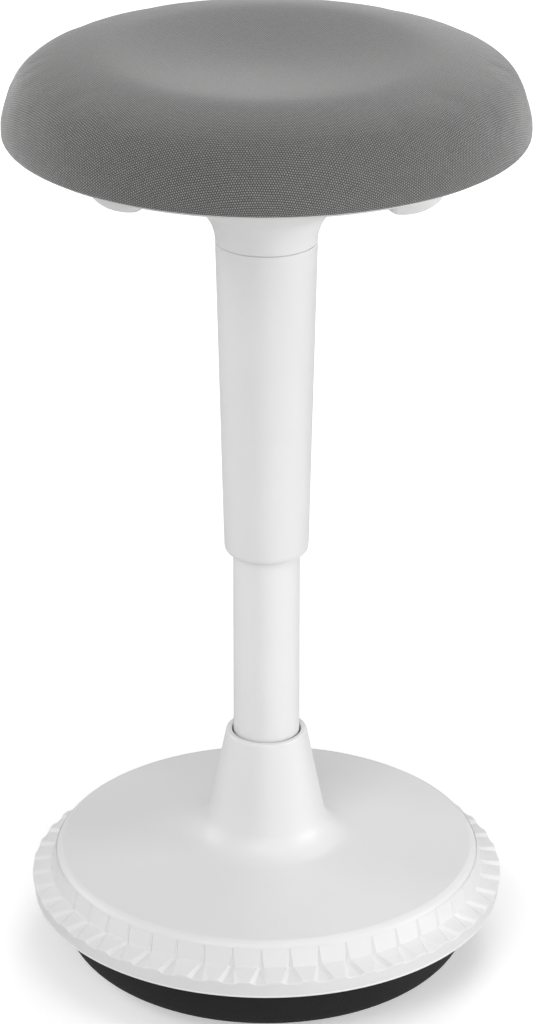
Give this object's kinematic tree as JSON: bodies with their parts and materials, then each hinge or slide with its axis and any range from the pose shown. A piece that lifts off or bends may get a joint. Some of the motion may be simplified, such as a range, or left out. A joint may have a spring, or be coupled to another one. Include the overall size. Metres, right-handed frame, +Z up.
{
  "type": "wobble stool",
  "caption": "Round padded wobble stool on a gas-lift column with a telescoping sleeve, paddle levers and a weighted rocking base with a domed rubber sole.",
  "frame": {"origin": "on the floor, at the centre of the sole's flat foot", "axes": "+Z up along the column; the two paddles lie on +X and -X, and the viewer stands at -Y"},
  "size_m": [0.3806, 0.3806, 0.7212],
  "materials": {
    "base_plastic": "satin",
    "seat_plastic": "satin",
    "paddle_plastic": "satin",
    "tube_paint": "gloss",
    "woven_cloth": "matte",
    "sole_rubber": "matte",
    "black_plastic": "matte",
    "foam": "matte",
    "plywood": "satin",
    "iron": "matte",
    "black_steel": "satin",
    "bright_steel": "satin",
    "nylon": "satin"
  },
  "bodies": {
    "base": {"base_shell": "base_plastic", "rubber_sole": "sole_rubber", "base_plate": "black_plastic", "counterweight": "iron", "column_socket": "black_steel", "outer_tube": "tube_paint", "guide_bush": "nylon", "end_plate": "bright_steel", "lower_race": "bright_steel", "ball_ring": "bright_steel", "socket_bolt_1": "bright_steel", "socket_bolt_2": "bright_steel", "socket_bolt_3": "bright_steel", "socket_bolt_4": "bright_steel", "shell_screw_1": "bright_steel", "shell_screw_2": "bright_steel", "shell_screw_3": "bright_steel", "shell_screw_4": "bright_steel"},
    "rod": {"piston_rod": "bright_steel", "piston": "bright_steel", "piston_seal": "sole_rubber", "upper_race": "bright_steel", "rubber_bumper": "sole_rubber", "rod_clip": "black_steel"},
    "seat": {"fabric_cover": "woven_cloth", "foam_pad": "foam", "seat_board": "plywood", "seat_pan": "seat_plastic", "column_sleeve": "seat_plastic", "sleeve_bush": "nylon", "gas_cylinder": "black_steel", "rod_guide": "nylon", "valve_body": "bright_steel", "mounting_bracket": "black_steel", "bracket_screw_1": "bright_steel", "bracket_screw_2": "bright_steel", "bracket_screw_3": "bright_steel", "bracket_screw_4": "bright_steel", "board_screw_1": "bright_steel", "board_screw_2": "bright_steel", "board_screw_3": "bright_steel", "board_screw_4": "bright_steel", "right_pivot_pin": "bright_steel", "right_pin_clip": "black_steel", "left_pivot_pin": "bright_steel", "left_pin_clip": "black_steel"},
    "left_lever": {"left_lever_arm": "bright_steel", "left_paddle": "paddle_plastic"},
    "right_lever": {"right_lever_arm": "bright_steel", "right_paddle": "paddle_plastic"},
    "plunger": {"release_pin": "bright_steel", "release_spool": "black_plastic"}
  },
  "joints": [
    {"name": "seat_swivel", "type": "hinge", "parent": "base", "child": "rod", "pos_m": [0, 0, 0.03], "axis": [0, 0, 1], "continuous": true},
    {"name": "height_slide", "type": "slide", "parent": "rod", "child": "seat", "axis": [0, 0, 1], "range_m": [-0.11, 0.12]},
    {"name": "left_lever_tilt", "type": "hinge", "parent": "seat", "child": "left_lever", "pos_m": [-0.03, 0, 0.648], "axis": [0, 1, 0], "range_deg": [0, 6], "stiffness_Nm_per_rad": 15, "springref_deg": -8.59},
    {"name": "right_lever_tilt", "type": "hinge", "parent": "seat", "child": "right_lever", "pos_m": [0.03, 0, 0.648], "axis": [0, -1, 0], "range_deg": [0, 6], "stiffness_Nm_per_rad": 15, "springref_deg": -8.59},
    {"name": "release_press", "type": "slide", "parent": "seat", "child": "plunger", "axis": [0, 0, -1], "range_m": [0, 0.0033]}
  ],
  "couplings": [
    {"joint": "right_lever_tilt", "follows": "left_lever_tilt", "ratio": 1},
    {"joint": "release_press", "follows": "left_lever_tilt", "m_per_rad": 0.03}
  ]
}
